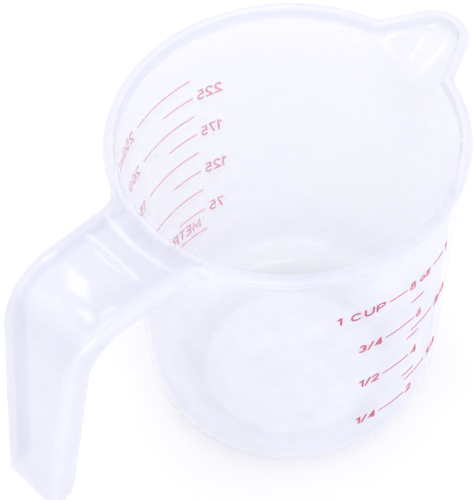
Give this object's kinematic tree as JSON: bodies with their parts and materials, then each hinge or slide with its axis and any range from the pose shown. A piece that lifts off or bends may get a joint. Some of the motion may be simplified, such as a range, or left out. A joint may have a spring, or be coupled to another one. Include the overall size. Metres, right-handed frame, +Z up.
{
  "type": "measuring jug",
  "caption": "Small translucent plastic measuring jug: tapered round bowl, beaded rim, rounded pouring spout, open hook handle and printed cup, ounce and millilitre scales.",
  "frame": {"origin": "centre of the base's flat underside, on the bowl's axis", "axes": "+Z up along the bowl's axis, +X towards the spout's tip, so the handle points along -X and the cup and ounce scale faces -Y"},
  "size_m": [0.132, 0.0814, 0.085],
  "materials": {
    "jug_plastic": "satin translucent natural polypropylene, walls 1.2 mm",
    "scale_ink": "printed ink film"
  },
  "bodies": {
    "root": {"bowl": "jug_plastic", "rim_bead": "jug_plastic", "pour_spout": "jug_plastic", "handle_strap": "jug_plastic", "handle_side_left": "jug_plastic", "handle_side_right": "jug_plastic", "cup_scale_lines": "scale_ink", "ounce_scale_lines": "scale_ink", "thirds_scale_lines": "scale_ink", "cup_scale_figures": "scale_ink", "metric_scale_lines": "scale_ink", "metric_scale_figures": "scale_ink"}
  },
  "joints": []
}
